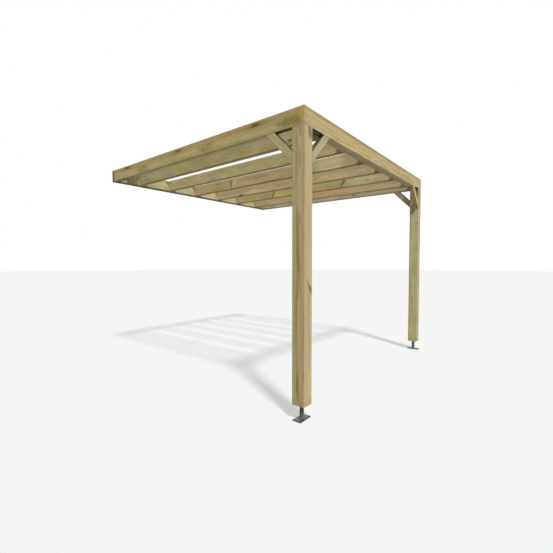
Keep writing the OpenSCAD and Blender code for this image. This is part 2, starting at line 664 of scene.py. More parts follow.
class SteelWear(Effect):
    """Patches of thin coating, rust and settled dust on small steel parts."""

    title = "Worn coated steel"
    takes = {
        "Point": VECTOR, "Level": VECTOR, "Foot": VECTOR, "Half": VECTOR, "Rust": FLOAT, "Dust": FLOAT,
        "Grime": FLOAT, "Bared": FLOAT,
    }
    gives = {"Colour": COLOUR, "Rough": FLOAT, "Metal": FLOAT, "Height": FLOAT}
    coat: tuple[Colour, Colour] = ((0.105, 0.114, 0.114), (0.15, 0.16, 0.158))
    thin_coat: Colour = (0.21, 0.22, 0.215)
    rusts: tuple[Colour, Colour] = ((0.12, 0.045, 0.018), (0.24, 0.1, 0.04))
    settled_dust: Colour = (0.36, 0.33, 0.27)
    light_foot_grey: Colour = (0.32, 0.33, 0.33)
    black_grime: Colour = (0.045, 0.047, 0.042)

    @classmethod
    def wire(cls, g: Graph, *given: Signal) -> tuple[Signal, ...]:
        """Wires coating, rust, dust, grime and painted shadow over each other, with the rod lighter grey low
        down.

        Args:
            g: Graph of the group's tree.
            *given: The group's inputs, in the order of takes.

        Returns:
            Colour, roughness, share of bare metal and surface height.
        """
        point, normal, foot, half, rusty, dusty, shadow_and_grime_amount, bared = given
        fine, _ = g.noise(point, (420.0, 420.0, 420.0), 3.0, 0.6)
        patch, _ = g.noise(point, (45.0, 45.0, 70.0), 4.0, 0.65)
        upward = g.split(normal)[2].step(0.4, 0.95)
        aside, ahead, level = g.split(point - foot)
        wide, deep, _ = g.split(half)
        rim = g.math("MINIMUM", wide - abs(aside), deep - abs(ahead))
        rust = patch.step(0.56, 0.66) * rusty
        dust = upward * dusty * fine.step(0.25, 0.7)
        scuff = patch.step(0.4, 0.3)
        # Painted shadow: a black ring round the rod's foot stands in for the shadow of the rod and post on
        # the plate; the dark rim along the plate's edges is grime.
        grime = (g.length(aside, ahead).step(0.050, 0.030) | rim.step(0.014, 0.008)) * upward * shadow_and_grime_amount
        colour = g.mix(fine.step(0.3, 0.7), *cls.coat)
        colour = g.mix(scuff * 0.5, colour, cls.thin_coat)
        colour = g.mix(rust, colour, g.mix(fine, *cls.rusts))
        colour = g.mix(dust, colour, cls.settled_dust)
        # The rod turns lighter grey low down, near its foot.
        colour = g.mix(level.step(0.075, 0.015) * bared, colour, cls.light_foot_grey)
        colour = g.mix(grime, colour, cls.black_grime)
        rough = (rust | dust) * 0.4 + fine.step(0.2, 0.8, 0.42, 0.56)
        return colour, rough, scuff * 0.6, fine * 0.35 + rust * 0.7


# ---------------------------------------------------------------- finishes


@dataclass(frozen=True)
class Check:
    """A drying crack: the place across the section that it opens to, its run along and its width."""

    across: float
    out: float
    start: float
    end: float
    width: float = 0.0022

    def mask(self, g: Graph, point: Signal, heart: tuple[float, float]) -> Signal:
        """Places the crack.

        Args:
            g: Graph of the timber's material.
            point: Coordinates in the timber's own axes.
            heart: Place of the heart across the section.

        Returns:
            The crack's mask.
        """
        turn = math.atan2(self.out - heart[1], self.across - heart[0])
        return DryingCheck.place(
            g, point=point, heart=(0.0, *heart), turn=turn, start=self.start, end=self.end, width=self.width,
        )[0]


@dataclass(frozen=True)
class Stain:
    """A tinted patch at a chosen place on a timber, in the timber's own axes from its middle, in metres: a
    stain, painted shade or painted light.
    """

    along: float
    across: float
    out: float
    reach: Colour
    tint: Tint
    strength: float = 0.7
    lean: float = 0.0
    ragged: float = 1.2
    soft: float = 0.6
    tide: float = 0.0
    strokes: float = 0.0

    def paint(self, g: Graph, point: Signal, colour: Signal) -> Signal:
        """Places the stain and its tide line.

        Args:
            g: Graph of the timber's material.
            point: Coordinates in the timber's own axes.
            colour: Colour of the wood.

        Returns:
            Colour of the stained wood.
        """
        patch, tide = RaggedPatch.place(
            g, point=point, centre=(self.along, self.across, self.out), reach=self.reach, lean=self.lean,
            ragged=self.ragged, soft=self.soft, strokes=self.strokes,
        )
        colour = g.mix(patch * self.strength, colour, self.tint.value, "MULTIPLY")
        return g.mix(tide * self.tide, colour, Tint.KNOT.value, "MULTIPLY") if self.tide else colour


def on_face(out: float, *rows: Row, deep: float = 0.02) -> tuple[Stain, ...]:
    """Makes stains on a timber's front or back face.

    Args:
        out: Distance of the face from the timber's middle.
        *rows: For each stain, its place along and across, its reach along and across, its tint and
            its strength, and then any of its lean, ragged edge, softness, tide line and strokes.
        deep: How far the stains run on round the arris.

    Returns:
        The stains.
    """
    return tuple(Stain(*row[:2], out, (*row[2:4], deep), *row[4:]) for row in rows)


def on_side(across: float, *rows: Row, deep: float = 0.02) -> tuple[Stain, ...]:
    """Makes stains on a timber's left or right side.

    Args:
        across: Distance of the side from the timber's middle.
        *rows: The same as for on_face, with place and reach out in the place of across.
        deep: How far the stains run on round the arris.

    Returns:
        The stains.
    """
    return tuple(Stain(row[0], across, row[1], (row[2], deep, row[3]), *row[4:]) for row in rows)


@dataclass(frozen=True)
class TimberFinish:
    """Planed, pressure-treated softwood that has stood outside for a season or two."""

    seed: float
    heart: tuple[float, float] = (0.03, 0.045)
    heartwood: float = 0.05
    ring: float = 0.0052
    wander: float = 0.03
    green: float = 0.55
    grey: float = 0.35
    sap: Colour = (0.53, 0.43, 0.215)
    core: Colour = (0.50, 0.345, 0.155)
    salts: Colour = (0.36, 0.365, 0.145)
    warm: float = 0.45
    contrast: float = 0.75
    whorl_spacing: float = 0.85
    whorl_radius: float = 0.0055
    damp: float = 0.35
    soil: float = 0.55
    soiled_edge: float = 0.007
    soiled_end: float = 0.18
    checks: tuple[Check, ...] = ()
    crack: Colour = (0.04, 0.035, 0.018)
    stains: tuple[Stain, ...] = ()
    tone: Colour = PLAIN

    def material(self, name: str, middle: Vector, axes: Matrix, half: Vector) -> bpy.types.Material:
        """Makes the material of one timber.

        Args:
            name: Name of the material.
            middle: Middle of the timber in the frame.
            axes: Rotation whose columns are the timber's grain, width and thickness.
            half: Half of its length, width and thickness.

        Returns:
            The new material.
        """
        g = Surface(name)
        mapping = g.add("ShaderNodeMapping", g.coordinate("Object"), vector_type="TEXTURE")
        mapping.inputs["Location"].default_value = middle
        mapping.inputs["Rotation"].default_value = axes.to_euler("XYZ")
        point = Signal(g, mapping.outputs[0])
        heart = (0.0, *self.heart)
        knot, bark, bend = Whorls.place(
            g, point=point, heart=heart, spacing=self.whorl_spacing, radius=self.whorl_radius, seed=self.seed,
        )
        depth, late, fibre, streak = LogFigure.place(
            g, point=point, heart=heart, ring=self.ring, wander=self.wander, bend=bend, seed=self.seed,
        )
        (colour,) = Treatment.place(
            g, point=point, depth=depth, late=late, fibre=fibre, streak=streak, knot=knot, bark=bark,
            heartwood=self.heartwood, green=self.green, grey=self.grey, warm=self.warm,
            contrast=self.contrast, seed=self.seed, sap=self.sap, core=self.core, salts=self.salts,
        )
        arris, end, damp = Soiling.place(
            g, point=point, half=tuple(half), edge=self.soiled_edge, seed=self.seed,
        )
        dirt = arris * self.soil | damp * self.damp | end * self.soiled_end
        colour = g.mix(dirt, colour, Tint.GRIME.value, "MULTIPLY")
        for stain in self.stains:
            colour = stain.paint(g, point, colour)
        colour = g.mix(1.0, colour, self.tone, "MULTIPLY")
        height = late * 0.3 + fibre * 0.35 + knot * 0.5
        for check in self.checks:
            crack = check.mask(g, point, self.heart)
            colour = g.mix(crack * 0.9, colour, self.crack)
            height = height - crack * 2.5
        rough = streak * 0.2 + late * -0.08 + 0.68
        g.shade({"Base Color": colour, "Roughness": rough, "Specular IOR Level": 0.3})
        g.bump(height, strength=0.55, distance=0.0007)
        return g.material


@dataclass(frozen=True)
class SteelFinish:
    """Grey coated steel with a little rust and dust, and round the foot of a rod, grime with painted shadow
    on the plate and a lighter grey low on the rod.
    """

    name: str
    rust: float = 0.1
    dust: float = 0.25
    tone: float = 0.5
    grime: float = 0.0
    bared: float = 0.0
    foot: Colour = (0.0, 0.0, 0.0)
    half: Colour = PLAIN

    def material(self) -> bpy.types.Material:
        """Returns the material, and makes it when it is first asked for.

        Returns:
            The material.
        """
        found = bpy.data.materials.get(self.name)
        if found:
            return found
        g = Surface(self.name)
        colour, rough, metal, height = SteelWear.place(
            g, point=g.coordinate("Object"), level=g.coordinate("Normal"), foot=self.foot, half=self.half,
            rust=self.rust, dust=self.dust, grime=self.grime, bared=self.bared,
        )
        colour = g.mix(1.0, colour, (self.tone,) * 3, "MULTIPLY")
        g.shade({"Base Color": colour, "Roughness": rough, "Metallic": metal})
        g.bump(height, strength=0.4, distance=0.0004)
        return g.material


# ---------------------------------------------------------------- timbers


def dress(node: str, material: bpy.types.Material) -> None:
    """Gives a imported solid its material."""
    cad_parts[node].material_slots[0].material = material


def rafter_numbers() -> list[int]:
    """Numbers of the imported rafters, in order."""
    return sorted(int(name.split("_")[1]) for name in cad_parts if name.startswith("rafter_"))


@dataclass(frozen=True)
class Timber:
    """One packed timber and how it lies."""

    node: str
    lie: Lie
    hand: Hand = Hand.LEFT
    brace_width: float = 0.0

    def axes(self) -> Matrix:
        """Rotation whose columns are the timber's grain, width and thickness."""
        return self.lie.axes(self.hand)

    def middle(self) -> Vector:
        """Middle of the timber. A mitred brace's lies half its width in from its box's diagonal."""
        low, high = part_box(self.node)
        return (low + high) / 2 + self.axes().col[1] * self.brace_width / 2

    def half(self) -> Vector:
        """Half of the timber's length, width and thickness.

        Returns:
            Its extents along its own axes.
        """
        low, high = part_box(self.node)
        axes, size = self.axes(), high - low
        reach = [sum(abs(axes[row][column]) * size[row] for row in range(3)) / 2 for column in range(3)]
        if self.brace_width:
            reach[1] = self.brace_width / 2
        return Vector(reach)

    def dress(self, finish: TimberFinish) -> None:
        """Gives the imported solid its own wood.

        Args:
            finish: The wood.
        """
        name = self.node.replace("_", " ") + " timber"
        dress(self.node, finish.material(name, self.middle(), self.axes(), self.half()))
        LOG.info("%s: %s, %.0f mm long", self.node, self.lie.name.lower(), self.half()[0] * 2000)


@dataclass(frozen=True)
class Beam:
    """Half sizes of the timbers on edge, from which their stains are placed."""

    face: float = 0.0225
    edge: float = 0.0725

    def beneath(self, *rows: Row, deep: float = 0.2) -> tuple[Stain, ...]:
        """Makes stains that run under the timber and a little up both its faces.

        Args:
            *rows: For each stain, its place and reach along, its reach up, its tint and its
                strength, and then any of its ragged edge and softness.
            deep: Reach towards both faces.

        Returns:
            The stains.
        """
        return on_face(0.0, *((row[0], -self.edge, *row[1:5], 0.0, *row[5:]) for row in rows), deep=deep)

    def corner_soot(self, *places: float) -> tuple[Stain, ...]:
        """Painted shade in black under a beam, in the closed corners over the knee braces where shade falls.

        Args:
            *places: Places of the corners along the beam.

        Returns:
            The stains.
        """
        return self.beneath(*((along, 0.13, 0.006, Tint.PITCH, 0.9, 0.3, 0.3) for along in places))


@dataclass(frozen=True)
class Rim(Beam):
    """Doubled timbers at the wall and the front, and the single side beams between them."""

    front_knee: float = 1.31
    side_knee: float = -1.3
    # Painted shade along the undersides of the timbers at the wall.
    painted_underside_shade: Row = (0.0, 4.0, 0.012, Tint.SOOT, 0.8, 0.4, 0.5)

    def build(self) -> None:
        """Chooses each timber's log and dresses it."""
        # Painted shade: the wall plate's left end darkened where it sits back behind the rail's end, and its
        # underside darkened too.
        plate = (Stain(-1.5, 0.0, 0.0, (0.17, 0.2, 0.1), Tint.SOOT, 0.8),)
        along_wall = {
            "wall_plate": TimberFinish(1.3, heart=(-0.02, 0.05), stains=plate + self.beneath(
                (0.0, 4.0, 0.006, Tint.SOOT, 0.6, 0.5, 0.4), self.painted_underside_shade,
            )),
            "wall_rail": TimberFinish(
                2.7, heart=(0.01, -0.09), sap=(0.62, 0.54, 0.30), green=0.5, heartwood=0.03, damp=0.15,
                soil=0.4, warm=0.25, stains=self.rail_stains(), tone=(0.83, 0.865, 0.865),
            ),
            "front_beam": TimberFinish(
                3.9, heart=(-0.05, -0.06), heartwood=0.045, green=0.3, sap=(0.56, 0.44, 0.235), damp=0.15,
                whorl_radius=0.005, contrast=0.95, stains=self.beam_stains(), tone=(0.98, 0.965, 0.91),
            ),
            "front_rail": TimberFinish(
                4.4, heart=(0.0, 0.07), tone=(0.84, 0.88, 0.86),
                # Painted shade under the front rail, in the corners over the knee braces.
                stains=self.corner_soot(-self.front_knee, self.front_knee),
            ),
        }
        out_from_wall = {
            "side_beam_left": TimberFinish(
                5.2, heart=(0.075, 0.012), heartwood=0.095, green=0.45, core=(0.485, 0.375, 0.165),
                whorl_radius=0.0045, stains=self.left_stains(),
            ),
            "side_beam_right": TimberFinish(
                6.1, heart=(-0.06, 0.03), tone=(0.94, 1.06, 1.42), stains=self.right_stains(),
            ),
        }
        for lie, finishes in ((Lie.ALONG_WALL, along_wall), (Lie.OUT_FROM_WALL, out_from_wall)):
            for node, finish in finishes.items():
                Timber(node, lie).dress(finish)

    def rail_stains(self) -> tuple[Stain, ...]:
        """Dark marks with a tide line beside each rafter, resin, painted sunlight on the rail between the
        rafters, and painted shade underneath and in the corner under the left side beam.

        Returns:
            The wall rail's stains.
        """
        stains = self.beneath(self.painted_underside_shade) + on_face(
            self.face,
            # Painted shade in the corner under the left side beam, and a painted sunlit sliver beside it.
            (-1.24, 0.0, 0.065, 0.4, Tint.SOOT, 0.65, 0.0, 0.5, 0.5),
            (-1.335, 0.0, 0.03, 0.4, Tint.CREAM, 1.0, 0.0, 0.4),
            (-0.98, 0.0, 0.2, 0.4, Tint.DUSK, 0.5, 0.0, 0.6, 0.9),
            deep=0.04,
        )
        for number in rafter_numbers():
            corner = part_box(f"rafter_{number}")[0].x
            # For each rafter: a resin spot, painted sunlight as a pale patch low on the rail to its left, and
            # a dark mark with a tide line against it.
            stains += on_face(
                self.face,
                (corner - 0.12, 0.02, 0.045, 0.03, Tint.HONEY, 0.9, -0.5),
                (corner - 0.17, -0.055, 0.12, 0.018, Tint.CREAM, 0.35, 0.4),
            )
            damp = (corner + 0.034, 0.0, 0.05, 0.14, Tint.WET, 0.85, -0.745, 0.4, 0.3, 0.8)
            stains += on_face(self.face, damp, deep=0.03)
        return stains

    def beam_stains(self) -> tuple[Stain, ...]:
        """Streaks on the front beam, its yellowed end grain, the dirt along its top and painted shade under
        it in the corners over the knee braces.

        Returns:
            The front beam's stains.
        """
        patches = (
            (-1.36, 0.01, Tint.RESIN), (-1.18, -0.03, Tint.SALTS), (-1.02, 0.03, Tint.PINK),
            (-0.83, -0.01, Tint.OCHRE), (-0.62, 0.02, Tint.SALTS), (-0.4, -0.035, Tint.HONEY),
            (-0.2, 0.03, Tint.OCHRE), (0.05, -0.02, Tint.SILVER), (0.3, 0.01, Tint.RESIN),
            (0.52, -0.03, Tint.SALTS), (0.78, 0.03, Tint.PINK), (1.05, -0.01, Tint.OCHRE),
            (1.3, 0.02, Tint.HONEY),
        )
        end_grain = (
            Stain(-1.5, 0.03, self.face, (0.004, 0.10, 0.06), Tint.GOLD, 1.0, 0.0, 0.5, 0.7),
            Stain(-1.5, -0.04, -self.face, (0.004, 0.07, 0.02), Tint.MOSS, 0.8, 0.0, 0.5, 0.8),
        )
        return end_grain + self.corner_soot(-self.front_knee, self.front_knee) + on_face(
            self.face,
            (0.0, self.edge, 3.0, 0.048, Tint.SOOT, 0.55, 0.0, 0.5, 0.95),
            (0.75, 0.0, 1.3, 0.3, Tint.DUSK, 0.25, 0.0, 1.2, 0.9),
            (-0.8, -0.06, 0.26, 0.036, Tint.CREAM, 0.7, 0.0, 1.0, 0.9),
            (0.4, -0.06, 0.26, 0.036, Tint.CREAM, 0.7, 0.0, 1.0, 0.9),
            (0.0, -0.07, 3.0, 0.026, Tint.BLEACH, 1.0, 0.0, 1.0, 0.8),
            (-0.4, -0.02, 0.2, 0.05, Tint.EARTH, 0.35, 0.0, 1.0, 0.9),
            (0.85, -0.02, 0.3, 0.05, Tint.EARTH, 0.3, 0.0, 1.0, 0.9),
            (-0.7, 0.050, 0.8, 0.004, Tint.OLIVE, 0.7, 0.0, 0.8),
            (-1.245, 0.03, 0.06, 0.022, Tint.GOLD, 0.5, 1.0),
            (-1.423, -0.033, 0.016, 0.010, Tint.KNOT, 0.6),
            *(
                (along, across, 0.10 + 0.05 * (index % 3), 0.022 + 0.01 * (index % 2), tint,
                 0.35 if tint is Tint.RESIN else 0.6, 2.0 - index % 4, 1.6, 0.9)
                for index, (along, across, tint) in enumerate(patches)
            ),
        )

    def left_stains(self) -> tuple[Stain, ...]:
        """Brown heart along the top, smudged knots, resin and green streaks on the left side beam, and
        painted shade under it over the knee brace.

        Returns:
            Its stains.
        """
        resin = (
            (-0.882, 0.055, 0.12), (-0.656, 0.03, 0.16), (-0.422, 0.045, 0.12), (0.224, 0.045, 0.16),
            (1.28, 0.02, 0.12),
        )
        salts = (
            (0.79, -0.01, 0.22), (0.10, -0.04, 0.3), (-0.37, -0.02, 0.2), (-0.78, -0.045, 0.14),
            (-1.33, -0.025, 0.14),
        )
        knots = ((1.127, 0.047), (0.083, 0.043), (-0.998, 0.042))
        brushed = (
            (0.79, -0.02, 0.15, Tint.MURK), (-0.35, -0.012, 0.17, Tint.MOSS),
            (-1.35, -0.022, 0.15, Tint.MOSS),
        )
        under = self.beneath(
            (1.28, 0.3, 0.012, Tint.KNOT, 0.95), (0.0, 4.0, 0.006, Tint.HONEY, 0.6, 1.2, 0.4),
        )
        return under + self.corner_soot(self.side_knee) + on_face(
            -self.face,
            (0.0, -0.06, 2.6, 0.022, Tint.SALTS, 0.4, 0.0, 1.8, 0.9),
            (0.0, -0.016, 4.0, 0.046, Tint.CREAM, 0.48, 0.0, 0.6, 0.9),
            (0.12, -self.edge, 1.5, 0.020, Tint.OLIVE, 0.5, 0.0, 0.8, 0.8),
            (0.0, self.edge, 3.0, 0.007, Tint.EARTH, 0.6, 0.0, 0.8),
            (1.5, 0.0, 0.03, 0.2, Tint.KNOT, 0.8, 0.0, 0.6),
            (-1.36, -0.02, 0.17, 0.05, Tint.OLIVE, 0.6, 0.5, 1.0, 0.7),
            *((*row, 0.022, Tint.RESIN, 0.8, 1.5, 1.6, 0.9) for row in resin),
            *((*row, 0.045, Tint.SALTS, 0.85, 1.0, 1.6, 0.8) for row in salts),
            *((along, across - 0.010, 0.20, 0.030, Tint.EARTH, 0.75, 0.0, 1.2, 0.9)
              for along, across in knots),
            *((*row, 0.065, 0.018, Tint.KNOT, 0.95, 0.6, 1.2, 0.5) for row in knots),
            *((*row, 0.050, tint, 0.9, 0.5, 0.9, 0.6, 0.0, 0.75) for *row, tint in brushed),
        )

    def right_stains(self) -> tuple[Stain, ...]:
        """A smudged knot, pale patches, the dirty lower edge of the right side beam and painted shade under
        it over the knee brace.

        Returns:
            Its stains.
        """
        knot = on_face(-self.face, (-0.466, -0.03, 0.035, 0.012, Tint.KNOT, 0.85), deep=0.01)
        return knot + self.corner_soot(self.side_knee) + on_face(
            -self.face,
            (-0.02, 0.0, 0.25, 0.06, Tint.CREAM, 0.9), (-1.25, 0.0, 0.16, 0.1, Tint.WET, 0.4),
            (0.0, -self.edge, 3.0, 0.02, Tint.EARTH, 0.6),
            (0.4, 0.0, 0.6, 0.04, Tint.SILVER, 0.9), (-0.9, 0.02, 0.35, 0.04, Tint.LICHEN, 1.0),
            (-0.478, -0.01, 0.05, 0.05, Tint.OLIVE, 0.8, 0.6),
        )


@dataclass(frozen=True)
class RafterLog:
    """What sets one rafter's log apart: its heart, its salts, its tone and the stains on its left face."""

    heart: tuple[float, float] = (0.04, 0.05)
    green: float = 0.6
    tone: Colour = PLAIN
    rows: tuple[Row, ...] = ()


RAFTER_LOGS = {
    1: RafterLog((0.09, 0.03), 0.8, (0.96, 0.98, 1.0), (
        (-0.744, 0.04, 0.5, 0.035, Tint.SILVER, 0.9), (-0.571, -0.026, 0.16, 0.02, Tint.RESIN, 0.9),
        (-0.234, -0.033, 0.2, 0.02, Tint.OLIVE, 0.5), (-1.125, -0.027, 0.035, 0.017, Tint.KNOT, 0.9),
        (-1.2, 0.0, 0.3, 0.2, Tint.LICHEN, 0.5), (0.7, -0.02, 0.5, 0.03, Tint.HONEY, 0.4),
        (0.3, 0.03, 0.4, 0.03, Tint.SALTS, 0.3), (0.95, 0.0, 0.6, 0.1, Tint.BLEACH, 1.0),
        (-1.08, 0.025, 0.09, 0.05, Tint.CREAM, 0.8),
    )),
    2: RafterLog((0.02, 0.06), 0.75, (1.08, 1.09, 1.17), (
        (-0.364, 0.016, 0.22, 0.028, Tint.OCHRE, 0.7), (0.006, 0.0, 0.2, 0.03, Tint.PINK, 0.5),
        (0.271, 0.032, 0.22, 0.025, Tint.HONEY, 0.9), (1.1, -0.02, 0.16, 0.04, Tint.RESIN, 0.4),
        (0.8, 0.03, 0.25, 0.03, Tint.SALTS, 0.4), (-0.8, -0.03, 0.3, 0.03, Tint.SALTS, 0.2),
        (-0.85, -0.04, 0.3, 0.05, Tint.CREAM, 0.4), (-0.1, -0.04, 0.3, 0.04, Tint.BLEACH, 0.9),
    )),
    3: RafterLog((-0.06, 0.05), 0.4, PLAIN, (
        (0.1, 0.02, 1.0, 0.04, Tint.PINK, 0.4), (0.52, 0.004, 0.05, 0.06, Tint.CREAM, 0.9, -0.9, 0.5),
        (0.592, 0.0, 0.019, 0.075, Tint.KNOT, 1.0, 0.1, 0.5, 0.4), (-0.4, -0.03, 0.3, 0.03, Tint.OCHRE, 0.5),
        (1.0, -0.02, 0.3, 0.03, Tint.HONEY, 0.7), (1.3, 0.05, 0.12, 0.03, Tint.SILVER, 0.7),
        (-0.5, -0.04, 0.35, 0.05, Tint.SALTS, 0.5, 0.0, 1.2, 0.9), (0.3, -0.04, 0.25, 0.04, Tint.CREAM, 0.4),
        (0.85, -0.04, 0.2, 0.04, Tint.EARTH, 0.4), (-1.0, 0.0, 0.24, 0.2, Tint.PALE, 1.0, 0.0, 0.5),
    )),
    4: RafterLog((-0.01, 0.045), 0.35, (1.03, 1.07, 1.2), (
        (0.3, 0.0, 0.9, 0.05, Tint.PINK, 0.55), (0.845, -0.058, 0.05, 0.018, Tint.KNOT, 1.0, 0.0, 1.2, 0.4),
        (-0.5, 0.02, 0.35, 0.03, Tint.HONEY, 0.3), (1.2, 0.02, 0.2, 0.03, Tint.OCHRE, 0.5),
        (-0.8, -0.03, 0.28, 0.06, Tint.CREAM, 0.7), (0.5, -0.04, 0.35, 0.04, Tint.CREAM, 0.7),
        (-0.5, -0.02, 0.6, 0.06, Tint.PINK, 0.45),
    )),
    5: RafterLog((0.07, 0.03), 0.7, PLAIN, (
        (0.0, 0.0, 0.8, 0.05, Tint.SALTS, 0.3), (0.567, -0.01, 0.019, 0.066, Tint.KNOT, 1.0, -0.5, 0.5, 0.4),
        (0.5, -0.01, 0.05, 0.05, Tint.CREAM, 0.6, -0.5, 0.5), (1.0, 0.0, 0.3, 0.04, Tint.HONEY, 0.7),
        (-0.80, 0.0, 0.10, 0.055, Tint.CREAM, 0.5, -0.65, 0.5),
        (-0.688, -0.005, 0.024, 0.062, Tint.KNOT, 1.0, -0.65, 0.5, 0.4),
        (-1.0, 0.0, 0.26, 0.2, Tint.PALE, 1.0, 0.0, 0.5), (-1.3, 0.0, 0.15, 0.08, Tint.PALE, 0.7),
        (0.35, -0.03, 0.25, 0.06, Tint.CREAM, 0.8), (-0.3, 0.0, 0.2, 0.1, Tint.CREAM, 0.4),
        (-0.55, 0.0, 0.2, 0.07, Tint.LICHEN, 0.4),
    )),
    6: RafterLog((0.0, 0.07), 0.3, (1.05, 1.055, 1.16), (
        (0.0, 0.0, 1.2, 0.05, Tint.PINK, 0.6), (-0.4, 0.02, 0.3, 0.03, Tint.OCHRE, 0.3),
        (0.5, -0.02, 0.3, 0.03, Tint.HONEY, 0.5), (-0.6, 0.0, 0.6, 0.08, Tint.CREAM, 0.35),
        (0.85, 0.0, 0.2, 0.08, Tint.CREAM, 0.35),
    )),
}


@dataclass(frozen=True)
class Rafters(Beam):
    """Rafters on edge between the two rails."""

    def build(self) -> None:
        """Cuts each rafter from a log of its own and dresses it."""
        for number in rafter_numbers():
            timber = Timber(f"rafter_{number}", Lie.OUT_FROM_WALL)
            log = RAFTER_LOGS.get(number, RafterLog())
            stains = self.common(timber.half().x) + on_face(-self.face, *log.rows)
            timber.dress(TimberFinish(
                10.0 + 1.7 * number, heart=log.heart, green=log.green, stains=stains, tone=log.tone,
            ))

    def common(self, reach: float) -> tuple[Stain, ...]:
        """Painted shade along the lower edge, a painted highlight along the upper arris and a dark mark at
        the wall end.

        Args:
            reach: Half of the rafter's length.

        Returns:
            The stains that every rafter has.
        """
        # Painted shade under the rafter and up its lower edge, a painted highlight along its upper arris on
        # the left face, and a dark mark at its wall end.
        return self.beneath((0.0, 4.0, 0.017, Tint.EARTH, 0.85, 0.9, 0.6), deep=0.3) + (
            Stain(0.0, self.edge, -self.face, (4.0, 0.005, 0.005), Tint.CREAM, 0.8, 0.0, 0.6),
            Stain(reach, 0.06, -self.face, (0.05, 0.05, 0.03), Tint.WET, 0.6, -0.25, 0.8),
        )


@dataclass(frozen=True)
class Braces:
    """Flat braces at the wall corners and knee braces at the posts, with their screws."""

    corner_width: float = 0.045
    knee_width: float = 0.070
    thick: float = 0.0225
    head_radius: float = 0.0047
    head_inset: float = 0.045
    head_spread: float = 0.45
    head_turns: tuple[float, float] = (0.7, 1.9)
    seed: float = 30.0

    def build(self) -> None:
        """Dresses every brace and adds the screws at its ends."""
        tones = {
            # The flat corner braces are darkened as painted shade, tucked under the beams against the wall.
            (Hand.LEFT, Lie.FLAT_CORNER): (0.55, 0.52, 0.4), (Hand.RIGHT, Lie.FLAT_CORNER): (0.55, 0.52, 0.4),
            (Hand.LEFT, Lie.FRONT_KNEE): (0.92, 0.91, 1.0), (Hand.RIGHT, Lie.FRONT_KNEE): (0.97, 0.90, 0.76),
            (Hand.LEFT, Lie.SIDE_KNEE): PLAIN, (Hand.RIGHT, Lie.SIDE_KNEE): (1.05, 1.08, 1.35),
        }
        kinds = (
            ("wall_corner_brace", Lie.FLAT_CORNER, self.corner_width),
            ("front_brace", Lie.FRONT_KNEE, self.knee_width),
            ("side_brace", Lie.SIDE_KNEE, self.knee_width),
        )
        for hand in Hand:
            for index, (stem, lie, width) in enumerate(kinds):
                timber = Timber(hand.of(stem), lie, hand, width)
                timber.dress(TimberFinish(
                    self.seed + 2.3 * index + 9 * hand.value, heart=(0.04, 0.05), green=0.5, grey=0.2,
                    sap=(0.56, 0.49, 0.25), whorl_radius=0.004, damp=0.2, soil=0.45, heartwood=0.025,
                    warm=0.15, stains=self.stains(hand, lie), tone=tones[hand, lie],
                ))
                self.screws(timber)

    def stains(self, hand: Hand, lie: Lie) -> tuple[Stain, ...]:
        """Painted shade in black along a knee brace's upper edge, and on the far side brace painted shade
        with a small painted lit patch.

        Args:
            hand: Side of the frame.
            lie: How the brace lies.

        Returns:
            The stains, and none for a corner brace.
        """
        if lie is Lie.FLAT_CORNER:
            return ()
        # Painted shade: near black along the brace's upper face, which closes the corner under the beams.
        upper_edge = (0.0, self.knee_width / 2, 2.0, 0.007, Tint.PITCH, 0.95, 0.0, 0.3, 0.3)
        painted_edge_shade = on_face(0.0, upper_edge, deep=0.2)
        if (hand, lie) != (Hand.RIGHT, Lie.SIDE_KNEE):
            return painted_edge_shade
        # Painted shade over the far side brace's inner face, stronger towards its upper end, with a small
        # painted lit patch in the middle.
        return painted_edge_shade + on_face(
            -self.thick,
            (0.0, 0.0, 2.0, 0.3, Tint.DUSK, 0.5, 0.0, 0.2, 0.3),
            (0.12, 0.0, 0.09, 0.3, Tint.WET, 0.9, 0.0, 0.4),
            (0.01, -0.005, 0.04, 0.04, Tint.CREAM, 1.0),
            deep=0.006,
        )

    def screws(self, timber: Timber) -> None:
        """Adds countersunk screws through the brace's long face near both ends.

        Args:
            timber: The brace.
        """
        axes, half, middle = timber.axes(), timber.half(), timber.middle()
        reach, spread = half[0] - self.head_inset, half[2] * self.head_spread
        outward = (axes @ Matrix.Rotation(math.pi / 2, 3, "X")).to_4x4()
        screw = ScrewHead(self.head_radius)
        mesh = bmesh.new()
        for along in (-1, 1):
            for aside in (-1, 1):
                place = middle + axes @ Vector((along * reach, -half[1], aside * spread))
                turn = self.head_turns[0] * along + self.head_turns[1] * aside
                seat = Matrix.Translation(place) @ outward
                screw.add_to(mesh, seat @ Matrix.Rotation(turn, 4, "Z"))
        finish_piece(mesh, timber.node + "_screws", SteelFinish("Dull coated screws"))


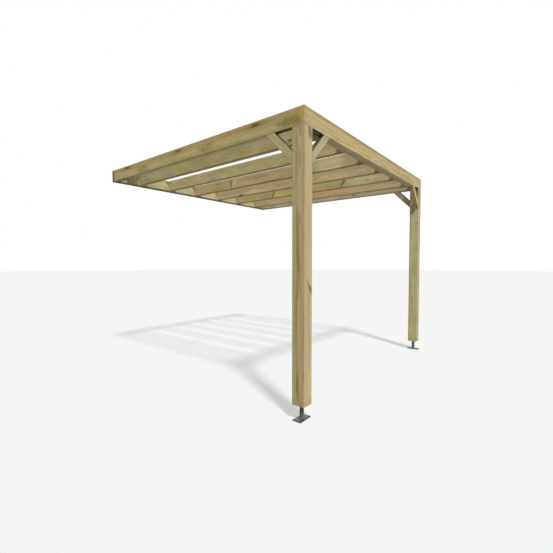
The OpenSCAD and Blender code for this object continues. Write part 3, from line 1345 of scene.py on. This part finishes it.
@dataclass(frozen=True)
class Posts:
    """Two posts with rebated heads."""

    reach: float = 0.0575

    def build(self) -> None:
        """Dresses both posts as boxed-heart timber with long drying checks."""
        r = self.reach
        left = TimberFinish(
            21.4, heart=(0.012, -0.02), heartwood=0.03, ring=0.0062, wander=0.035, green=0.3, grey=0.3,
            sap=(0.55, 0.44, 0.225), salts=(0.42, 0.4, 0.17), damp=0.1, whorl_radius=0.004, warm=0.3,
            contrast=0.35, soil=0.5, checks=(Check(r, 0.01, -0.3, 0.9), Check(0.01, r, -0.8, 0.2)),
            stains=self.left_stains(),
        )
        right = TimberFinish(
            24.8, heart=(-0.008, 0.012), heartwood=0.046, ring=0.006, green=0.5, grey=0.5,
            sap=(0.57, 0.51, 0.31), damp=0.15, whorl_radius=0.004, warm=0.3, contrast=0.4, soil=0.5,
            tone=(1.10, 1.11, 0.96),
            checks=(Check(0.0, r, -0.4, 0.8),), stains=self.right_stains(),
        )
        for hand, finish in ((Hand.LEFT, left), (Hand.RIGHT, right)):
            Timber(hand.of("post"), Lie.UPRIGHT).dress(finish)

    def left_stains(self) -> tuple[Stain, ...]:
        """Olive streaks down the left side, and bleached grain, a knot and a dark notch in front.

        Returns:
            The left post's stains.
        """
        streaks = (
            (0.78, 0.016, 0.30, 0.014, 0.5), (0.30, 0.007, 0.16, 0.017, 0.75),
            (0.06, -0.001, 0.28, 0.020, 0.95), (-0.22, 0.006, 0.14, 0.015, 0.75),
            (-0.40, 0.017, 0.18, 0.015, 0.75), (-0.60, 0.020, 0.16, 0.014, 0.6),
            (-0.80, 0.014, 0.16, 0.014, 0.5), (-1.0, 0.006, 0.16, 0.018, 0.95),
        )
        return on_side(
            -self.reach,
            *((*row, Tint.OLIVE, strength, 0.0, 0.9) for *row, strength in streaks),
            (0.0, 0.047, 3.0, 0.019, Tint.LICHEN, 1.0, 0.0, 0.6, 0.4),
            (0.0, -0.018, 3.0, 0.016, Tint.PINK, 0.6, 0.0, 1.0),
            (-0.45, -0.028, 0.5, 0.006, Tint.EARTH, 0.4, 0.0, 1.0),
            (0.2, -0.057, 0.9, 0.008, Tint.PLUM, 0.4, 0.0, 1.4),
            (-0.75, -0.05, 0.5, 0.010, Tint.PLUM, 0.5, 0.0, 1.4),
            (-0.98, 0.04, 0.16, 0.026, Tint.LICHEN, 1.0, 0.0, 0.6, 0.8),
            (1.0, 0.0, 0.14, 0.08, Tint.RESIN, 0.35, 0.0, 0.8, 0.9),
        ) + on_face(
            -self.reach,
            (0.0, -0.035, 3.0, 0.02, Tint.PINK, 0.5),
            (0.0, 0.04, 3.0, 0.034, Tint.BLEACH, 1.0, 0.0, 0.8, 0.9),
            (-0.95, 0.03, 0.22, 0.036, Tint.CREAM, 0.6, 0.0, 0.8, 0.9),
            (-0.30, 0.0, 0.26, 0.03, Tint.OLIVE, 0.22, 0.0, 1.0, 0.9),
            (-0.238, 0.034, 0.038, 0.032, Tint.KNOT, 0.95, -0.8, 0.6, 0.5),
            (-0.19, 0.0, 0.018, 0.034, Tint.KNOT, 0.8, -1.4, 0.6),
            (0.98, 0.024, 0.058, 0.033, Tint.KNOT, 0.85, -0.5, 0.4, 0.4),
            (0.0, 0.0, 4.0, 0.2, Tint.SILVER, 0.5, 0.0, 0.0),
        )

    def right_stains(self) -> tuple[Stain, ...]:
        """Dull front, a knot, painted shade under the head and pale bands on the right post.

        Returns:
            Its stains.
        """
        return on_side(
            -self.reach,
            (-1.0, 0.0, 0.12, 0.2, Tint.CREAM, 0.45, 0.0, 0.8, 0.9),
            (0.0, 0.0, 0.12, 0.2, Tint.CREAM, 0.35, 0.0, 0.8, 0.9),
            (0.0, 0.05, 3.0, 0.016, Tint.WET, 0.4, 0.0, 0.8), (0.53, -0.035, 0.02, 0.012, Tint.KNOT, 0.8),
            # Painted shade under the head: two dark patches high on the side.
            (0.97, -0.035, 0.08, 0.045, Tint.KNOT, 0.85, 0.0, 0.5, 0.5),
            (0.84, 0.03, 0.06, 0.05, Tint.WET, 0.75, 0.0, 0.6, 0.7),
            (0.2, -0.02, 0.7, 0.015, Tint.OCHRE, 0.5),
        ) + on_face(
            -self.reach,
            (0.0, 0.0, 4.0, 0.2, Tint.DULL, 1.0, 0.0, 0.0),
            (-0.76, 0.0, 0.14, 0.2, Tint.DUSK, 0.35, 0.0, 0.8, 0.9),
            # Painted shade high on the face, under the head.
            (0.9, 0.0, 0.25, 0.2, Tint.DUSK, 0.5, 0.0, 0.8, 0.9),
            (0.0, -0.02, 3.0, 0.02, Tint.OCHRE, 0.4),
        )


# ---------------------------------------------------------------- added pieces


def add_object(name: str, data: bpy.types.ID) -> bpy.types.Object:
    """Puts data into the scene.

    Args:
        name: Name of the new object.
        data: Its mesh, lamp or camera.

    Returns:
        The object.
    """
    thing = bpy.data.objects.new(name, data)
    bpy.context.scene.collection.objects.link(thing)
    return thing


def add_mesh(name: str, mesh: bmesh.types.BMesh, material: bpy.types.Material) -> bpy.types.Object:
    """Puts a mesh into the scene.

    Args:
        name: Name of the new object.
        mesh: Mesh in frame coordinates. It is freed.
        material: Its material.

    Returns:
        The object.
    """
    data = bpy.data.meshes.new(name)
    mesh.to_mesh(data)
    mesh.free()
    data.materials.append(material)
    return add_object(name, data)


def finish_piece(mesh: bmesh.types.BMesh, name: str, finish: SteelFinish) -> None:
    """Turns a mesh into a smooth steel piece that rides on the frame.

    Args:
        mesh: Mesh in frame coordinates. It is freed.
        name: Name of the piece.
        finish: Its finish.
    """
    bmesh.ops.recalc_face_normals(mesh, faces=mesh.faces)
    piece = add_mesh(name, mesh, finish.material())
    piece.data.shade_smooth()
    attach(piece, "root")
    LOG.info("%s: %d faces", name, len(piece.data.polygons))


def angles(count: int) -> list[float]:
    """Angles that divide a full turn evenly."""
    return [math.tau * index / count for index in range(count)]


def skin(mesh: bmesh.types.BMesh, loops: list[Loop], nexts: list[Loop]) -> None:
    """Joins loops of vertices with quads.

    Args:
        mesh: Mesh that holds the vertices.
        loops: Closed loops with equally many vertices.
        nexts: For each of them, the loop it is joined to.
    """
    for lower, upper in zip(loops, nexts):
        for index in range(len(lower)):
            after = (index + 1) % len(lower)
            mesh.faces.new((lower[index], lower[after], upper[after], upper[index]))


@dataclass(frozen=True)
class ScrewHead:
    """Countersunk head that sits a hair proud, with a six-lobed recess."""

    radius: float
    proud: float = 0.0006
    recess: float = 0.0021
    depth: float = 0.0016
    lobes: int = 6
    segments: int = 36

    def add_to(self, mesh: bmesh.types.BMesh, seat: Matrix) -> None:
        """Adds one head to a mesh.

        Args:
            mesh: Mesh that gets the head.
            seat: Place of the head, whose Z axis points out of the timber.
        """
        # Each ring has a radius, a level over the wood, and a depth for its lobes.
        rings = (
            (self.radius * 0.8, -0.0008, 0.0), (self.radius, 0.0, 0.0),
            (self.radius * 0.97, self.proud * 0.7, 0.0), (self.radius * 0.85, self.proud, 0.0),
            (self.recess * 1.12, self.proud, 0.16), (self.recess, self.proud - 0.0002, 0.18),
            (self.recess * 0.9, self.proud - self.depth, 0.18),
        )
        loops = []
        for radius, level, lobed in rings:
            loop = []
            for angle in angles(self.segments):
                reach = radius * (1 + lobed * math.cos(self.lobes * angle))
                place = Vector((reach * math.cos(angle), reach * math.sin(angle), level))
                loop.append(mesh.verts.new(seat @ place))
            loops.append(loop)
        skin(mesh, loops, loops[1:])
        mesh.faces.new(loops[-1])


@dataclass(frozen=True)
class Feet:
    """Steel plate and rod under each post, with the weld bead between them."""

    bead_radius: float = 0.0026
    bead_level: float = 0.0022
    bead_squash: float = 0.8
    bead_inset: float = 1.15
    ripple_swell: float = 0.10
    drift_swell: float = 0.05
    ripples: int = 26
    around: int = 156
    section: int = 10

    def build(self) -> None:
        """Dresses the steel and adds a rippled bead round each rod."""
        for hand in Hand:
            low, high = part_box(hand.of("foot_rod"))
            foot = ((low.x + high.x) / 2, (low.y + high.y) / 2, low.z)
            half = tuple((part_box(hand.of("foot_plate"))[1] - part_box(hand.of("foot_plate"))[0]) / 2)
            # The plate gets painted shadow and grime round the rod's foot; the rod gets a lighter grey low
            # down.
            plate = SteelFinish(hand.of("coated_plate"), 0.2, 0.08, 0.38, grime=0.9, foot=foot, half=half)
            rod = SteelFinish(hand.of("coated_rod"), 0.2, 0.1, 0.37, bared=0.8, foot=foot)
            dress(hand.of("foot_plate"), plate.material())
            dress(hand.of("foot_rod"), rod.material())
            self.bead(hand, rod)

    def bead(self, hand: Hand, finish: SteelFinish) -> None:
        """Adds the weld bead over the cone at the rod's foot.

        Args:
            hand: Which foot.
            finish: Finish of the steel.
        """
        low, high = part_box(hand.of("foot_rod"))
        middle = (low + high) / 2
        ring_radius = (high - low)[0] / 2 - self.bead_radius * self.bead_inset
        mesh = bmesh.new()
        loops = []
        for turn in angles(self.around):
            ripple = self.ripple_swell * abs(math.sin(turn * self.ripples / 2))
            drift = self.drift_swell * math.sin(3 * turn + 0.6)
            away = self.bead_radius * (1 + ripple + drift)
            x, y = middle.x + ring_radius * math.cos(turn), middle.y + ring_radius * math.sin(turn)
            centre = Vector((x, y, low.z + self.bead_level))
            loop = []
            for angle in angles(self.section):
                side = Vector((math.cos(turn), math.sin(turn), 0)) * away * math.cos(angle)
                rise = Vector((0, 0, away * self.bead_squash * math.sin(angle)))
                loop.append(mesh.verts.new(centre + side + rise))
            loops.append(loop)
        skin(mesh, loops, loops[1:] + loops[:1])
        finish_piece(mesh, hand.of("weld_bead"), finish)


# ---------------------------------------------------------------- studio


@dataclass(frozen=True)
class Studio:
    """Pale floor, plain light and the camera."""

    floor_radius: float = 60.0
    floor_gap: float = 0.0005
    floor_tone: float = 0.28
    floor_shades: tuple[float, float] = (0.98, 1.02)
    floor_sides: int = 96
    floor_glow: float = 0.50
    sky: float = 0.20
    key_energy: float = 4.3
    key_softness: float = math.radians(7)
    key_way: Colour = (0.5175, 1.0, -1.5927)
    fill_energy: float = 1.1
    fill_softness: float = math.radians(60)
    fill_way: Colour = (-0.65, -0.75, -0.55)
    lamp_distance: float = 8.0
    eye: Colour = (-3.6836, -4.4699, -1.1226)
    heading: float = 0.89786
    pitch: float = -0.03989
    roll: float = -0.00073
    lens: float = 22.231
    sensor: float = 36.0
    far: float = 500.0

    def build(self) -> None:
        """Sets up the floor, the light and the camera."""
        self.floor()
        self.world()
        self.lamp("Key light", self.key_way, self.key_energy, self.key_softness)
        self.lamp("Fill light", self.fill_way, self.fill_energy, self.fill_softness)
        self.camera()
        bpy.context.scene.view_settings.view_transform = "Standard"

    def seen(self, g: Graph) -> Signal:
        """Mask of the rays that show the background: straight, reflected and refracted ones.

        Args:
            g: Graph that gets the mask.

        Returns:
            One for those rays and zero for the rest.
        """
        outputs = g.add("ShaderNodeLightPath").outputs
        kinds = ("Camera", "Glossy", "Transmission")
        straight, glossy, through = (Signal(g, outputs[f"Is {kind} Ray"]) for kind in kinds)
        return straight | glossy | through

    def floor(self) -> None:
        """Lays a wide pale disc at the height of the foot plates' undersides."""
        low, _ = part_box("foot_plate_left")
        mesh = bmesh.new()
        bmesh.ops.create_circle(mesh, cap_ends=True, segments=self.floor_sides, radius=self.floor_radius)
        bmesh.ops.translate(mesh, verts=mesh.verts, vec=(0, 0, low.z - self.floor_gap))
        g = Surface("Pale studio floor")
        grain, _ = g.noise(g.coordinate("Object"), (9.0, 9.0, 9.0), 3.0)
        dark, light = ((self.floor_tone * shade,) * 3 for shade in self.floor_shades)
        g.shade({
            "Base Color": g.mix(grain, dark, light), "Roughness": 0.95, "Specular IOR Level": 0.0,
            "Emission Color": PLAIN, "Emission Strength": self.seen(g) * self.floor_glow,
        })
        floor = add_mesh("studio_floor", mesh, g.material)

    def world(self) -> None:
        """Lights the scene evenly and shows a white background."""
        world = bpy.data.worlds.new("Studio")
        world.use_nodes = True
        g = Graph(world.node_tree)
        back = world.node_tree.nodes["Background"]
        g.feed(back.inputs["Color"], PLAIN)
        g.feed(back.inputs["Strength"], self.seen(g).step(0.0, 1.0, self.sky, 1.0))
        bpy.context.scene.world = world

    def lamp(self, name: str, way: Colour, energy: float, softness: float) -> None:
        """Adds a far lamp.

        Args:
            name: Name of the lamp.
            way: Direction in which its light travels.
            energy: Light on a surface that faces it.
            softness: Angle that the lamp covers, in radians.
        """
        light = bpy.data.lights.new(name, "SUN")
        light.energy = energy
        light.angle = softness
        lamp = add_object(name, light)
        lamp.rotation_euler = Vector(way).to_track_quat("-Z", "Y").to_euler()
        lamp.location = -Vector(way).normalized() * self.lamp_distance

    def camera(self) -> None:
        """Places the camera to the left of the front, at about chest height."""
        data = bpy.data.cameras.new("Camera")
        data.lens = self.lens
        data.sensor_width = self.sensor
        data.clip_end = self.far
        camera = add_object("Camera", data)
        camera.location = self.eye
        level = math.cos(self.pitch)
        ahead = Vector((math.sin(self.heading) * level, math.cos(self.heading) * level, math.sin(self.pitch)))
        turn = ahead.to_track_quat("-Z", "Y").to_matrix().to_4x4() @ Matrix.Rotation(self.roll, 4, "Z")
        camera.rotation_euler = turn.to_euler()
        bpy.context.scene.camera = camera


def main() -> None:
    """Dresses the frame, adds the small pieces, and sets up the studio."""
    logging.basicConfig(level=logging.INFO, format="%(name)s: %(message)s")
    for assembly in (Rim(), Rafters(), Braces(), Posts(), Feet(), Studio()):
        assembly.build()


if __name__ == "__main__":
    main()
